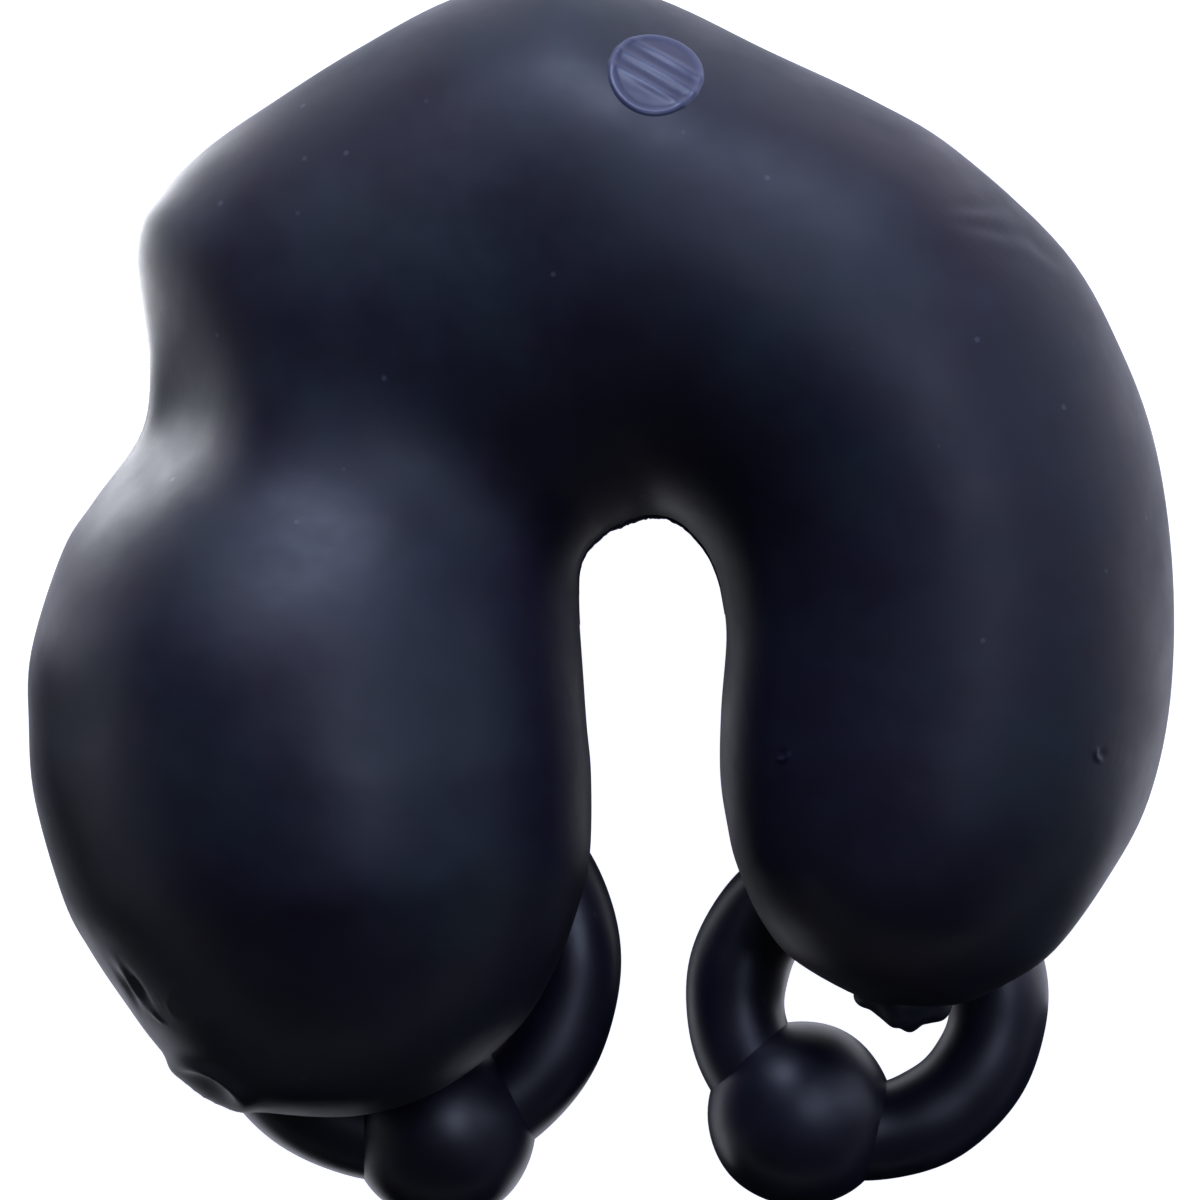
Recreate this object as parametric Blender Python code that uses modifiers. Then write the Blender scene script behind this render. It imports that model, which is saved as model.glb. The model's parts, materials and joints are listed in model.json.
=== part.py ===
"""A curved hand massager: a soft body with a large lobe and a slimmer arm, weights inside, two ring pulls.

It lies flat on its back. +X is to the right, +Y points from the lobes to the arch, +Z up. The origin is
on the resting surface, under the middle of the outline.
"""

import math

import bmesh
import bpy
from mathutils import Matrix, Vector

MM = 0.001
GAP = 0.3 * MM  # left between pieces that touch

# The soft body is a thick tube bent into a U. Each row spans it with one chord: the outer point, the inner
# point, and the height of the front above the parting plane there, in millimetres. The first and last rows
# are the tips, where the chord has no length.
CHORDS = (
    (-30.8, -59.7, -30.8, -59.7, 25.0),  # tip of the large lobe
    (-50.0, -52.0, -9.8, -50.0, 29.0),
    (-61.1, -34.9, -2.2, -34.8, 32.6),
    (-65.1, -14.0, -1.2, -16.0, 33.7),  # widest across the large lobe
    (-60.9, 5.0, -2.6, -1.5, 31.0),
    (-51.4, 21.5, -1.6, 4.9, 27.4),  # waist between the large lobe and the shoulder
    (-53.2, 38.6, 0.9, 7.3, 26.6),  # shoulder
    (-34.2, 57.7, 3.6, 8.6, 27.6),
    (-3.4, 70.7, 6.3, 8.8, 27.5),  # top of the arch
    (30.8, 56.5, 9.8, 7.3, 27.5),
    (57.0, 32.9, 13.0, 2.7, 27.0),
    (65.2, 3.9, 14.4, -6.0, 27.0),  # widest across the arm
    (62.1, -24.1, 14.1, -23.5, 27.0),
    (50.2, -42.3, 21.7, -41.2, 27.0),
    (34.8, -48.1, 34.8, -48.1, 27.0),  # tip of the arm
)
PARTING_Z = 30 * MM  # the plane where the front and back halves of the body meet
KEEL = 34 * MM  # depth of the body below that plane, before the resting surface flattens it
END_WIDTH = 26 * MM  # chords shorter than twice this belong to the round ends
END_SHARPNESS = 8
SECTIONS_PER_CHORD = 2
SECTION_POINTS = 18
CENTRE = Vector((0.09, -1.02, 0.0)) * MM  # middle of the finished outline, moved to the origin

# The body bends at the arch. The bend is one hinge, and the body is cut there by a cylinder about its axis.
FLEX_AXIS = Vector((-2, 37, 0)) * MM
FLEX_RADIUS = 34 * MM
FLEX_CUT_X = 4 * MM  # the arm's side starts here, in the open gap between the lobes

RING_SEGMENTS = 36
TUBE_SEGMENTS = 10
WIRE_SEGMENTS = 8
BALL_SEGMENTS = 16
BALL_RINGS = 9
BEAD_FACETS = (20, 11)  # round and from pole to pole
CURVE_SIDES = 8  # what a bevel resolution of 2 gives
WIRE_RADIUS = 1.5 * MM
WIRE_INSET = 14  # degrees from the bead's centre to each end of the wire
LINER_BORE = 0.45 * MM  # room between a ring and its liner
LINER_WALL = 1.2 * MM
BEAD_ROOM = 0.7 * MM  # room round a bead's path

POD_WALL = 2 * MM
FLANGE_HALF = 2 * MM
FLANGE_WIDTH = 4 * MM
SCREW_RADIUS = 1.2 * MM
SCREW_HEAD_RADIUS = 2.2 * MM
SCREW_HEAD_HEIGHT = 1.4 * MM

ROD_RADIUS = 2 * MM
SOCKET_RADIUS = 4.2 * MM
SOCKET_LENGTH = 9 * MM
ROD_INSERTION = 7 * MM


def at(x, y, z=0.0):
    """A point given in millimetres before the outline is centred."""
    return Vector((x, y, z)) * MM - CENTRE


GRIP_CENTRE = at(6.3, 59.5, 49.3)
GRIP_TILT = math.radians(46)
GRIP_SIZE = (13 * MM, 17 * MM)
GRIP_DEPTH = 2.5 * MM
GRIP_CORNER = 2.5 * MM
GRIP_PROUD = 0.8 * MM
PLUG_RADIUS = 5 * MM
PLUG_LENGTH = 9 * MM
PLUG_PROUD = 1 * MM
PLUG_MOUTH = at(35, -47.6, 31)


# ---------------------------------------------------------------- scene, materials, objects


def clear_scene():
    for obj in list(bpy.data.objects):
        bpy.data.objects.remove(obj, do_unlink=True)


def make_collection(name):
    collection = bpy.data.collections.new(name)
    bpy.context.scene.collection.children.link(collection)
    return collection


def make_material(name, colour, roughness, metallic=0.0):
    material = bpy.data.materials.new(name)
    material.use_nodes = True
    shader = material.node_tree.nodes["Principled BSDF"]
    shader.inputs["Base Color"].default_value = (*colour, 1.0)
    shader.inputs["Roughness"].default_value = roughness
    shader.inputs["Metallic"].default_value = metallic
    return material


clear_scene()
PARTS = make_collection("hand_massager")
CUTTERS = make_collection("cutters")
SILICONE = make_material("silicone", (0.012, 0.014, 0.024), 0.42)
RING_SILICONE = make_material("ring_silicone", (0.010, 0.011, 0.022), 0.38)
STEEL = make_material("steel", (0.56, 0.57, 0.58), 0.25, 1.0)
SPRING_STEEL = make_material("spring_steel", (0.42, 0.43, 0.45), 0.35, 1.0)
POD_PLASTIC = make_material("pod_plastic", (0.70, 0.70, 0.68), 0.5)
FOAM = make_material("foam", (0.35, 0.36, 0.38), 0.95)
NYLON = make_material("nylon", (0.80, 0.79, 0.74), 0.45)
ALUMINIUM = make_material("aluminium", (0.66, 0.67, 0.68), 0.3, 1.0)


def make_object(name, mesh, collection=PARTS, material=None):
    obj = bpy.data.objects.new(name, mesh)
    collection.objects.link(obj)
    if collection is CUTTERS:
        obj.hide_render = True
        obj.display_type = "WIRE"
    if material:
        mesh.materials.clear()
        mesh.materials.append(material)
    return obj


def object_from_bmesh(name, bm, collection=PARTS, material=None):
    bmesh.ops.recalc_face_normals(bm, faces=bm.faces)
    mesh = bpy.data.meshes.new(name)
    bm.to_mesh(mesh)
    bm.free()
    mesh.shade_smooth()
    mesh.set_sharp_from_angle(angle=math.radians(40))
    return make_object(name, mesh, collection, material)


def boolean(obj, cutter, operation="DIFFERENCE"):
    modifier = obj.modifiers.new(f"{operation.lower()}_{cutter.name}", "BOOLEAN")
    modifier.object = cutter
    modifier.operation = operation
    return obj


def evaluated_mesh(obj):
    """The object with its modifiers applied, as a new mesh, with loose caps and doubled points welded."""
    graph = bpy.context.evaluated_depsgraph_get()
    mesh = bpy.data.meshes.new_from_object(obj.evaluated_get(graph), depsgraph=graph)
    bm = bmesh.new()
    bm.from_mesh(mesh)
    bmesh.ops.remove_doubles(bm, verts=bm.verts, dist=1e-6)
    bmesh.ops.recalc_face_normals(bm, faces=bm.faces)
    bm.to_mesh(mesh)
    bm.free()
    return mesh


def bisected(bm, plane_point, plane_normal):
    """Keeps what lies behind the plane and closes the cut."""
    geometry = bm.verts[:] + bm.edges[:] + bm.faces[:]
    cut = bmesh.ops.bisect_plane(
        bm, geom=geometry, plane_co=plane_point, plane_no=plane_normal, clear_outer=True
    )
    edges = [item for item in cut["geom_cut"] if isinstance(item, bmesh.types.BMEdge)]
    bmesh.ops.holes_fill(bm, edges=edges)
    return bm


def keep_side(bm, height, front):
    """Keeps the front (upper) or back (lower) side of a level, less half the gap between the two."""
    sign = 1 if front else -1
    return bisected(bm, Vector((0, 0, height + sign * GAP / 2)), Vector((0, 0, -sign)))


# ---------------------------------------------------------------- the soft body


def catmull_rom(a, b, c, d, t):
    """The point at t from b to c on the smooth curve through a, b, c and d."""
    return 0.5 * (
        2 * b + (c - a) * t + (2 * a - 5 * b + 4 * c - d) * t * t + (3 * b - a - 3 * c + d) * t**3
    )


def chord_rows():
    """The chords with one more row past each tip, where the outer and inner sides change places."""
    first, last = CHORDS[1], CHORDS[-2]
    before = (*first[2:4], *first[0:2], first[4])
    after = (*last[2:4], *last[0:2], last[4])
    return [Vector(row) for row in (before, *CHORDS, after)]


def body_chords():
    """The chords in metres, refined between the rows, as (outer point, inner point, front height)."""
    rows = chord_rows()
    chords = []
    for i in range(1, len(rows) - 2):
        for step in range(SECTIONS_PER_CHORD):
            t = step / SECTIONS_PER_CHORD
            row = catmull_rom(rows[i - 1], rows[i], rows[i + 1], rows[i + 2], t)
            chords.append((at(row[0], row[1]), at(row[2], row[3]), row[4] * MM))
    tip = CHORDS[-1]
    chords.append((at(tip[0], tip[1]), at(tip[2], tip[3]), tip[4] * MM))
    return chords


def end_factor(half_width):
    """1 along the body, and falling with the width at its round ends."""
    ratio = half_width / END_WIDTH
    return ratio / (1 + ratio**END_SHARPNESS) ** (1 / END_SHARPNESS)


def body_section(outer, inner, front_height, grow):
    """One closed loop round the body: a half ellipse in front, a deeper one behind, flat where it rests."""
    middle, half = (outer + inner) / 2, (outer - inner) / 2
    factor = end_factor(half.length)
    half += half.normalized() * grow
    loop = []
    for i in range(SECTION_POINTS):
        angle = 2 * math.pi * (i + 0.5) / SECTION_POINTS
        rise = math.sin(angle)
        height = grow + (front_height if rise > 0 else KEEL)
        point = middle + half * math.cos(angle)
        point.z = max(0.0, PARTING_Z + height * factor * rise)
        loop.append(point)
    return loop


def body_bmesh(grow=0.0):
    """The whole body as one closed loft from tip to tip, thicker all round by the growth."""
    bm = bmesh.new()
    chords = body_chords()
    loops = [[bm.verts.new(point) for point in body_section(*chord, grow)] for chord in chords[1:-1]]
    for first, second in zip(loops, loops[1:]):
        for i in range(SECTION_POINTS):
            j = (i + 1) % SECTION_POINTS
            bm.faces.new((first[i], first[j], second[j], second[i]))
    for loop, chord in ((loops[0], chords[0]), (loops[-1], chords[-1])):
        tip = bm.verts.new(Vector((chord[0].x, chord[0].y, PARTING_Z)))
        for i in range(SECTION_POINTS):
            bm.faces.new((loop[i], loop[(i + 1) % SECTION_POINTS], tip))
    bmesh.ops.recalc_face_normals(bm, faces=bm.faces)
    return bm


def make_body(front):
    """The lobe's side and the arm's side of the front or back half, cut apart at the bend."""
    side = "front" if front else "back"
    halves = []
    for name in ("lobe", "arm"):
        bm = keep_side(body_bmesh(), PARTING_Z, front)
        halves.append(object_from_bmesh(f"{name}_{side}", bm, PARTS, SILICONE))
    lobe, arm = halves
    boolean(lobe, ARM_SIDE)
    boolean(arm, RIGHT_BLOCK, "INTERSECT")
    boolean(arm, BEND_CYLINDER_OUTER)
    return lobe, arm


def grip_frame():
    """Where the grip pad lies: its middle on the surface, its Z axis out of the surface."""
    turn = Matrix.Rotation(-GRIP_TILT, 4, "X")
    return Matrix.Translation(GRIP_CENTRE) @ turn


def make_grip_block(name, extra, grow):
    """A block over the pad's outline, as deep as the pad and reaching well out of the body."""
    half_x, half_y = GRIP_SIZE[0] / 2 + extra, GRIP_SIZE[1] / 2 + extra
    low = (-half_x, -half_y, -GRIP_DEPTH - extra)
    block = make_box(name, low, (half_x, half_y, 3 * GRIP_DEPTH))
    bm = bmesh.new()
    bm.from_mesh(block.data)
    upright = [edge for edge in bm.edges if abs((edge.verts[0].co - edge.verts[1].co).z) > GRIP_DEPTH]
    bmesh.ops.bevel(bm, geom=upright, offset=GRIP_CORNER + extra, segments=4, profile=0.5, affect="EDGES")
    bm.to_mesh(block.data)
    bm.free()
    block.data.transform(grip_frame())
    if grow:
        grown = object_from_bmesh(f"{name}_body", body_bmesh(grow), CUTTERS)
        boolean(block, grown, "INTERSECT")
    return block


def make_grip_pad():
    pad = make_grip_block("grip_pad", 0.0, GRIP_PROUD)
    CUTTERS.objects.unlink(pad)
    PARTS.objects.link(pad)
    pad.hide_render = False
    pad.display_type = "TEXTURED"
    pad.data.materials.append(RING_SILICONE)
    return pad


def make_tip_plug(extra=0.0, collection=PARTS, material=None):
    """The round plug in the end of the arm, with its axis along Y."""
    name = "arm_tip_plug" if collection is PARTS else f"arm_tip_plug_room_{extra:.4f}"
    bm = cylinder_bmesh(
        Vector((0, 0, 0)), PLUG_RADIUS + extra, -PLUG_LENGTH - extra, PLUG_PROUD, segments=24
    )
    bmesh.ops.transform(bm, verts=bm.verts, matrix=Matrix.Rotation(math.pi / 2, 4, "X"))
    bmesh.ops.translate(bm, verts=bm.verts, vec=PLUG_MOUTH)
    return object_from_bmesh(name, bm, collection, material)


# ---------------------------------------------------------------- cutters and simple solids


def make_box(name, low, high, collection=CUTTERS, material=None):
    bm = bmesh.new()
    bmesh.ops.create_cube(bm, size=1.0)
    for vert in bm.verts:
        for axis in range(3):
            vert.co[axis] = high[axis] if vert.co[axis] > 0 else low[axis]
    return object_from_bmesh(name, bm, collection, material)


def cylinder_bmesh(centre, radius, low, high, segments=64):
    bm = bmesh.new()
    bmesh.ops.create_cone(
        bm, cap_ends=True, segments=segments, radius1=radius, radius2=radius, depth=high - low
    )
    bmesh.ops.translate(bm, verts=bm.verts, vec=Vector((centre.x, centre.y, (low + high) / 2)))
    return bm


def capsule_bmesh(centre, radius, half_length, segments=BALL_SEGMENTS, rings=BALL_RINGS):
    """A ball stretched along Y by its half length on each side. A ball if that is 0."""
    bm = bmesh.new()
    bmesh.ops.create_uvsphere(bm, u_segments=segments, v_segments=rings, radius=radius)
    for vert in bm.verts:
        x, y, z = vert.co
        vert.co = centre + Vector((x, z + math.copysign(half_length, z), -y))
    return bm


def make_torus(name, centre, major, minor, collection=CUTTERS, material=None, sides=TUBE_SEGMENTS):
    bpy.ops.mesh.primitive_torus_add(
        location=centre,
        major_radius=major,
        minor_radius=minor,
        major_segments=RING_SEGMENTS,
        minor_segments=sides,
    )
    torus = bpy.context.object
    mesh = torus.data
    mesh.transform(torus.matrix_world)
    bpy.data.objects.remove(torus, do_unlink=True)
    mesh.shade_smooth()
    return make_object(name, mesh, collection, material)


def make_tube(name, points, radius, collection=CUTTERS, material=None):
    """A round rod along a line of points, with flat closed ends."""
    data = bpy.data.curves.new(name, "CURVE")
    data.dimensions = "3D"
    data.bevel_depth = radius
    data.bevel_resolution = 2
    data.use_fill_caps = True
    spline = data.splines.new("POLY")
    spline.points.add(len(points) - 1)
    for target, point in zip(spline.points, points):
        target.co = (*point, 1.0)
    curve = bpy.data.objects.new(name + "_curve", data)
    bpy.context.scene.collection.objects.link(curve)
    bpy.context.view_layer.update()
    mesh = evaluated_mesh(curve)
    bpy.data.objects.remove(curve, do_unlink=True)
    mesh.shade_smooth()
    mesh.set_sharp_from_angle(angle=math.radians(40))
    return make_object(name, mesh, collection, material)


def arc_points(centre, radius, start, end, step=9):
    """Points on a level arc, from one angle to another in degrees."""
    count = max(2, round(abs(end - start) / step) + 1)
    angles = [math.radians(start + (end - start) * i / (count - 1)) for i in range(count)]
    return [centre + Vector((math.cos(a), math.sin(a), 0)) * radius for a in angles]


def attach(obj, empty):
    """Parents the object to the empty and leaves it where it is."""
    obj.parent = empty
    obj.matrix_parent_inverse = empty.matrix_basis.inverted()


def make_pivot(name, position):
    empty = bpy.data.objects.new(name, None)
    empty.location = position
    PARTS.objects.link(empty)
    return empty


# ---------------------------------------------------------------- ring pulls


class RingPull:
    """A round-section ring that is closed by a bead and runs in a curved tunnel under one end of the body."""

    def __init__(self, prefix, centre, major, tube, bead, bead_angle, turn, liner):
        self.prefix = prefix
        self.centre = centre
        self.major = major
        self.tube = tube
        self.bead = bead
        self.bead_angle = bead_angle
        self.turn = turn
        self.liner = liner
        self.hole = (tube + LINER_BORE + LINER_WALL + GAP) / math.cos(math.pi / TUBE_SEGMENTS)

    def bead_centre(self, turned=0.0):
        angle = math.radians(self.bead_angle + turned)
        return self.centre + Vector((math.cos(angle), math.sin(angle), 0)) * self.major

    def make_cutters(self):
        """The tunnel for the liner, and the path that the bead needs as the ring turns."""
        tunnel = make_torus(f"{self.prefix}_tunnel", self.centre, self.major, self.hole)
        low, high = (self.bead_angle + turned for turned in self.turn)
        room = self.bead + BEAD_ROOM
        path = make_tube(
            f"{self.prefix}_bead_path",
            arc_points(self.centre, self.major, low, high),
            room / math.cos(math.pi / CURVE_SIDES),
        )
        ends = [
            object_from_bmesh(
                f"{self.prefix}_bead_end_{i}",
                capsule_bmesh(self.bead_centre(turned), room, 0),
                CUTTERS,
            )
            for i, turned in enumerate(self.turn)
        ]
        return [tunnel, path, *ends]

    def make_liner(self):
        points = arc_points(self.centre, self.major, *self.liner)
        liner = make_tube(
            f"{self.prefix}_ring_liner",
            points,
            self.tube + LINER_BORE + LINER_WALL,
            PARTS,
            NYLON,
        )
        bore = make_torus(
            f"{self.prefix}_liner_bore", self.centre, self.major, self.tube + LINER_BORE
        )
        return boolean(liner, bore)

    def make_ring(self):
        """The soft ring: a full torus, hollow for its wire, cut to fit against the bead."""
        ring = make_torus(
            f"{self.prefix}_ring", self.centre, self.major, self.tube, PARTS, RING_SILICONE
        )
        bead_room = object_from_bmesh(
            f"{self.prefix}_bead_seat",
            capsule_bmesh(self.bead_centre(), self.bead + GAP, 0, *BEAD_FACETS),
            CUTTERS,
        )
        channel = make_torus(
            f"{self.prefix}_wire_channel",
            self.centre,
            self.major,
            WIRE_RADIUS + GAP,
            sides=WIRE_SEGMENTS,
        )
        boolean(ring, channel)
        return boolean(ring, bead_room)

    def make_wire(self):
        """The spring wire in the ring. Both its ends go into the bead."""
        start = self.bead_angle + WIRE_INSET
        end = self.bead_angle + 360 - WIRE_INSET
        points = arc_points(self.centre, self.major, start, end)
        return make_tube(
            f"{self.prefix}_ring_wire", points, WIRE_RADIUS, PARTS, SPRING_STEEL
        )

    def make_bead(self):
        bead = object_from_bmesh(
            f"{self.prefix}_bead",
            capsule_bmesh(self.bead_centre(), self.bead, 0, *BEAD_FACETS),
            PARTS,
            RING_SILICONE,
        )
        past_surface = 2 * math.degrees(math.asin(self.bead / (2 * self.major))) + 10
        for i, sign in enumerate((-1, 1)):
            points = arc_points(
                self.centre,
                self.major,
                self.bead_angle + sign * (WIRE_INSET - 2),
                self.bead_angle + sign * past_surface,
            )
            hole = make_tube(f"{self.prefix}_bead_hole_{i}", points, WIRE_RADIUS + GAP)
            boolean(bead, hole)
        return bead


# ---------------------------------------------------------------- weighted pods


class Pod:
    """A rigid two-part shell with a steel weight held in foam, screwed together through a flange."""

    def __init__(self, prefix, centre, radius, half_length, weight_radius, weight_half_length):
        self.prefix = prefix
        self.centre = centre
        self.radius = radius
        self.half_length = half_length
        self.weight_radius = weight_radius
        self.weight_half_length = weight_half_length

    def flange_size(self, extra=0.0):
        half_x = self.radius + FLANGE_WIDTH + extra
        return half_x, half_x + self.half_length

    def screw_places(self):
        """The four corners of the flange, outside the round shell."""
        inset = (self.radius + FLANGE_WIDTH / 2) / math.sqrt(2)
        return [
            self.centre + Vector((sx * inset, sy * (inset + self.half_length), 0))
            for sx in (-1, 1)
            for sy in (-1, 1)
        ]

    def make_flange(self, name, extra=0.0):
        """A level round plate, stretched along Y like the shell."""
        half_x, _ = self.flange_size(extra)
        half_z = FLANGE_HALF + extra
        bm = cylinder_bmesh(Vector((0, 0, 0)), half_x, -half_z, half_z, segments=32)
        for vert in bm.verts:
            if self.half_length and abs(vert.co.y) > 1e-6:
                vert.co.y += math.copysign(self.half_length, vert.co.y)
            vert.co += self.centre
        return object_from_bmesh(name, bm, CUTTERS)

    def make_cavity(self):
        """The room that the pod takes in the soft body."""
        shell = object_from_bmesh(
            f"{self.prefix}_pod_cavity",
            capsule_bmesh(self.centre, self.radius + GAP, self.half_length),
            CUTTERS,
        )
        flange = self.make_flange(f"{self.prefix}_flange_cavity", GAP)
        head_top = self.centre.z + FLANGE_HALF + GAP + SCREW_HEAD_HEIGHT + GAP
        heads = [
            object_from_bmesh(
                f"{self.prefix}_screw_head_room_{i}",
                cylinder_bmesh(place, SCREW_HEAD_RADIUS + 2 * GAP, self.centre.z, head_top, 12),
                CUTTERS,
            )
            for i, place in enumerate(self.screw_places())
        ]
        return [shell, flange, *heads]

    def make_shell(self, front):
        """One half of the rigid shell, hollow, with its half of the flange and the screw holes."""
        side = "front" if front else "back"
        name = f"{self.prefix}_pod_{side}"
        shell = object_from_bmesh(
            name, capsule_bmesh(self.centre, self.radius, self.half_length), PARTS, POD_PLASTIC
        )
        boolean(shell, self.make_flange(f"{name}_flange"), "UNION")
        hollow = object_from_bmesh(
            f"{name}_hollow",
            capsule_bmesh(self.centre, self.radius - POD_WALL, self.half_length),
            CUTTERS,
        )
        boolean(shell, hollow)
        split = self.centre.z + (GAP / 2 if front else -GAP / 2)
        reach = Vector((1, 1, 1)) * 0.1
        low, high = self.centre - reach, self.centre + reach
        if front:
            high.z = split
        else:
            low.z = split
        boolean(shell, make_box(f"{name}_split", low, high))
        for i, place in enumerate(self.screw_places()):
            hole = object_from_bmesh(
                f"{name}_hole_{i}",
                cylinder_bmesh(
                    place, SCREW_RADIUS + GAP, place.z - 0.1, place.z + 0.1, segments=12
                ),
                CUTTERS,
            )
            boolean(shell, hole)
        return shell

    def make_cradle(self, front):
        """Half of the foam that holds the weight off the shell."""
        bm = capsule_bmesh(
            self.centre, self.radius - POD_WALL - GAP, self.half_length
        )
        keep_side(bm, self.centre.z, front)
        side = "front" if front else "back"
        cradle = object_from_bmesh(f"{self.prefix}_cradle_{side}", bm, PARTS, FOAM)
        hollow = object_from_bmesh(
            f"{self.prefix}_cradle_{side}_hollow",
            capsule_bmesh(self.centre, self.weight_radius + GAP, self.weight_half_length),
            CUTTERS,
        )
        return boolean(cradle, hollow)

    def make_weight(self):
        return object_from_bmesh(
            f"{self.prefix}_weight",
            capsule_bmesh(self.centre, self.weight_radius, self.weight_half_length),
            PARTS,
            STEEL,
        )

    def make_screw(self, number, place):
        """One of the four identical pan-head screws: a turned profile."""
        tip = -FLANGE_HALF + 0.5 * MM
        seat = FLANGE_HALF + GAP
        top = seat + SCREW_HEAD_HEIGHT
        outline = (
            (0.0, top),
            (SCREW_HEAD_RADIUS * 0.8, top),
            (SCREW_HEAD_RADIUS, seat),
            (SCREW_RADIUS, seat),
            (SCREW_RADIUS, tip),
            (0.0, tip),
        )
        bm = bmesh.new()
        points = [bm.verts.new((radius, 0, height)) for radius, height in outline]
        for pair in zip(points, points[1:]):
            bm.edges.new(pair)
        mesh = bpy.data.meshes.new(f"{self.prefix}_pod_screw_{number}")
        bm.to_mesh(mesh)
        bm.free()
        screw = make_object(mesh.name, mesh, PARTS, STEEL)
        screw.location = place
        turned = screw.modifiers.new("turned", "SCREW")
        turned.steps = turned.render_steps = 10
        turned.use_merge_vertices = True
        turned.merge_threshold = 1e-6
        return screw

    def make_all(self):
        pieces = [self.make_weight()]
        pieces += [self.make_screw(i + 1, place) for i, place in enumerate(self.screw_places())]
        for front in (True, False):
            pieces += [self.make_shell(front), self.make_cradle(front)]
        return pieces


# ---------------------------------------------------------------- the arch spring and its sockets


def arch_line():
    """The spring's centre line over the arch, level with the parting plane."""
    control = ((-38, 19), (-36, 33), (-24, 43), (-5, 46), (14, 42), (31, 34), (39, 21))
    rows = [at(x, y, PARTING_Z / MM) for x, y in control]
    rows = [2 * rows[0] - rows[1], *rows, 2 * rows[-1] - rows[-2]]
    steps = 5
    points = [
        catmull_rom(rows[i - 1], rows[i], rows[i + 1], rows[i + 2], step / steps)
        for i in range(1, len(rows) - 2)
        for step in range(steps)
    ]
    return [*points, rows[-2]]


def make_socket(name, end, inward):
    """A round socket with a blind hole that one end of the spring is fixed in."""
    back = end + inward * (SOCKET_LENGTH - ROD_INSERTION)
    mouth = end - inward * ROD_INSERTION
    socket = make_tube(name, [mouth, (mouth + back) / 2, back], SOCKET_RADIUS, PARTS, ALUMINIUM)
    hole = make_tube(
        f"{name}_hole", [mouth - inward * MM, end, end + inward * GAP], ROD_RADIUS + GAP
    )
    return boolean(socket, hole)


def make_socket_room(name, end, inward):
    back = end + inward * (SOCKET_LENGTH - ROD_INSERTION + GAP)
    mouth = end - inward * (ROD_INSERTION + GAP)
    return make_tube(name, [mouth, (mouth + back) / 2, back], SOCKET_RADIUS + GAP)


# ---------------------------------------------------------------- building everything

flex_axis = at(FLEX_AXIS.x / MM, FLEX_AXIS.y / MM)
cut_x = at(FLEX_CUT_X / MM, 0).x
FAR = 0.2
RIGHT_BLOCK = make_box("right_block", (cut_x, -FAR, -FAR), (FAR, FAR, FAR))
BEND_CYLINDER_OUTER = object_from_bmesh(
    "bend_cylinder_outer",
    cylinder_bmesh(flex_axis, FLEX_RADIUS + GAP / 2, -0.5 * FAR, 0.5 * FAR, 96),
    CUTTERS,
)
BEND_CYLINDER_INNER = object_from_bmesh(
    "bend_cylinder_inner",
    cylinder_bmesh(flex_axis, FLEX_RADIUS - GAP / 2, -2 * FAR, 2 * FAR, 96),
    CUTTERS,
)
ARM_SIDE = make_box("arm_side", (cut_x, -FAR, -FAR), (FAR, FAR, FAR))
boolean(ARM_SIDE, BEND_CYLINDER_INNER)

lobe_front, arm_front = make_body(front=True)
lobe_back, arm_back = make_body(front=False)

LOBE_RING = RingPull(
    "lobe",
    centre=at(-22.7, -42.8, 10.9),
    major=19.4 * MM,
    tube=5.6 * MM,
    bead=10.6 * MM,
    bead_angle=-76.5,
    turn=(-25, 30),
    liner=(60, 185),
)
ARM_RING = RingPull(
    "arm",
    centre=at(30.8, -46.8, 10.9),
    major=15.2 * MM,
    tube=5.6 * MM,
    bead=10.6 * MM,
    bead_angle=-120.5,
    turn=(-38, 80),
    liner=(40, 115),
)
LOBE_POD = Pod("lobe", at(-33, -7, 39.5), 20 * MM, 0.0, 13 * MM, 0.0)
ARM_POD = Pod("arm", at(39.5, -6.5, 30), 13 * MM, 5 * MM, 7.5 * MM, 5 * MM)

line = arch_line()
spring = make_tube("arch_spring", line, ROD_RADIUS, PARTS, SPRING_STEEL)
spring_channel = make_tube("spring_channel", line, ROD_RADIUS + GAP)
lobe_inward = (line[0] - line[1]).normalized()
arm_inward = (line[-1] - line[-2]).normalized()
make_socket("lobe_spring_socket", line[0], lobe_inward)
arm_socket = make_socket("arm_spring_socket", line[-1], arm_inward)

for half in (lobe_front, lobe_back):
    for cutter in LOBE_POD.make_cavity():
        boolean(half, cutter)
    boolean(half, spring_channel)
    boolean(half, make_socket_room(f"{half.name}_socket_room", line[0], lobe_inward))
for half in (arm_front, arm_back):
    for cutter in ARM_POD.make_cavity():
        boolean(half, cutter)
    boolean(half, spring_channel)
    boolean(half, make_socket_room(f"{half.name}_socket_room", line[-1], arm_inward))
for ring, half in ((LOBE_RING, lobe_back), (ARM_RING, arm_back)):
    for cutter in ring.make_cutters():
        boolean(half, cutter)

grip_pad = make_grip_pad()
grip_room = make_grip_block("grip_room", GAP, 0.0)
boolean(lobe_front, grip_room)
tip_plug = make_tip_plug(material=NYLON)
plug_room = make_tip_plug(GAP, CUTTERS)
for half in (arm_front, arm_back):
    boolean(half, plug_room)

arm_pivot = make_pivot("arm_flex_pivot", Vector((flex_axis.x, flex_axis.y, PARTING_Z)))
arm_liner = ARM_RING.make_liner()
LOBE_RING.make_liner()
LOBE_POD.make_all()
for piece in (arm_front, arm_back, arm_socket, arm_liner, tip_plug, *ARM_POD.make_all()):
    attach(piece, arm_pivot)
for ring in (LOBE_RING, ARM_RING):
    pivot = make_pivot(f"{ring.prefix}_ring_pivot", ring.centre)
    for piece in (ring.make_ring(), ring.make_wire(), ring.make_bead()):
        attach(piece, pivot)
    if ring is ARM_RING:
        pivot.parent = arm_pivot
        pivot.matrix_parent_inverse = arm_pivot.matrix_basis.inverted()
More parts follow.
